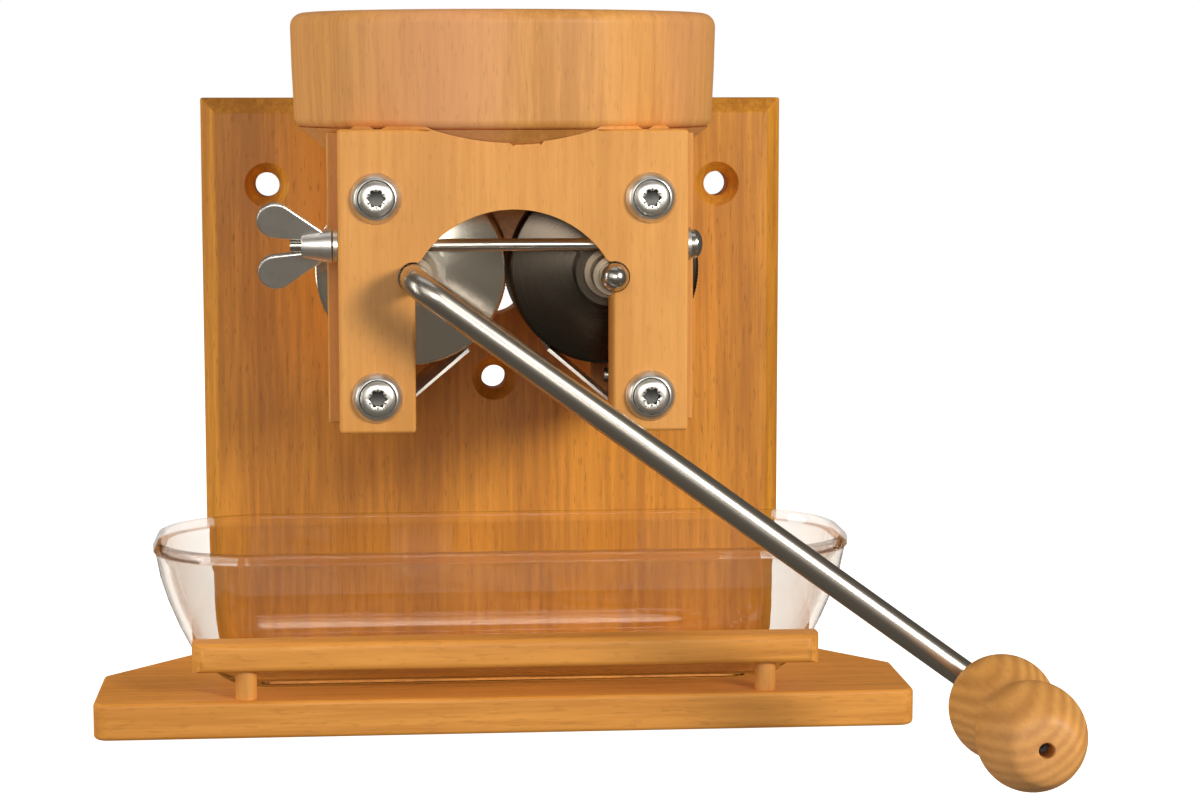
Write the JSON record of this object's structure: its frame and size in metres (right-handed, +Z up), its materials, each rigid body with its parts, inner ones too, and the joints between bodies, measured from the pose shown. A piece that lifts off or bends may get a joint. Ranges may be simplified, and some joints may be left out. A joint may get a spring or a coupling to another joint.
{
  "type": "hand grain flaker",
  "caption": "Hand-cranked grain flaker: wooden hopper over steel rollers in an arched wooden body on a wall board, long crank with turned knob, glass dish on a railed shelf.",
  "frame": {"origin": "on the underside of the base, on the machine's centreline, below the front face of the wall board", "axes": "+Z up, -Y out of the wall towards the person cranking, +X to that person's right"},
  "size_m": [0.3387, 0.2879, 0.27],
  "materials": {
    "beech": "oiled, satin",
    "steel": "brushed stainless steel",
    "polished_steel": "turned and polished stainless steel",
    "dark_steel": "blackened steel",
    "bronze": "plain bearing bronze",
    "glass": "clear pressed glass"
  },
  "bodies": {
    "stand": {"back_board": "beech", "base_shelf": "beech", "base_screws": "steel", "dish_rail": "beech", "rail_post_left": "beech", "rail_post_right": "beech", "front_plate": "beech", "rear_plate": "beech", "left_cheek": "beech", "right_cheek": "beech", "left_spacer": "beech", "right_spacer": "beech", "chute_block": "beech", "plate_screws": "steel", "cup_washers": "steel", "back_screws": "steel", "front_left_bush": "bronze", "front_right_bush": "bronze", "rear_left_bush": "bronze", "rear_right_bush": "bronze", "clamp_bolt": "steel", "bolt_washer": "steel", "left_scraper": "steel", "right_scraper": "steel", "left_scraper_screws": "steel", "right_scraper_screws": "steel"},
    "hopper": {"hopper": "beech"},
    "dish": {"glass_dish": "glass"},
    "crank": {"crank_rod": "steel", "drive_roller": "polished_steel", "drive_collar": "polished_steel", "drive_set_screw": "dark_steel", "drive_thrust_washers": "bronze", "drive_circlip": "dark_steel", "knob_washer": "steel", "knob_screw": "dark_steel"},
    "knob": {"knob": "beech"},
    "idler": {"idler_roller": "polished_steel", "idler_shaft": "polished_steel", "idler_collar": "polished_steel", "idler_set_screw": "dark_steel", "idler_thrust_washers": "bronze", "idler_circlip": "dark_steel"},
    "clamp_washer": {"wing_washer": "steel"},
    "clamp_nut": {"wing_nut": "steel"}
  },
  "joints": [
    {"name": "crank_turn", "type": "hinge", "parent": "stand", "child": "crank", "pos_m": [-0.0355, 0, 0.176], "axis": [0, 1, 0], "continuous": true},
    {"name": "knob_spin", "type": "hinge", "parent": "crank", "child": "knob", "pos_m": [0.16473, -0.2, 0.03052], "axis": [0, 1, 0], "continuous": true},
    {"name": "idler_turn", "type": "hinge", "parent": "stand", "child": "idler", "pos_m": [0.0355, 0, 0.176], "axis": [0, 1, 0], "continuous": true},
    {"name": "hopper_lift", "type": "slide", "parent": "stand", "child": "hopper", "axis": [0, 0, 1], "range_m": [0, 0.06]},
    {"name": "dish_slide", "type": "slide", "parent": "stand", "child": "dish", "axis": [-1, 0, 0], "range_m": [0, 0.3]},
    {"name": "nut_travel", "type": "slide", "parent": "stand", "child": "clamp_washer", "axis": [-1, 0, 0], "range_m": [0, 0.00241]},
    {"name": "nut_turn", "type": "hinge", "parent": "clamp_washer", "child": "clamp_nut", "pos_m": [-0.07, -0.143, 0.187], "axis": [-1, 0, 0], "range_deg": [0, 1080]}
  ],
  "couplings": [
    {"joint": "idler_turn", "follows": "crank_turn", "ratio": -1},
    {"joint": "nut_travel", "follows": "nut_turn", "m_per_rad": 0.00012732}
  ]
}
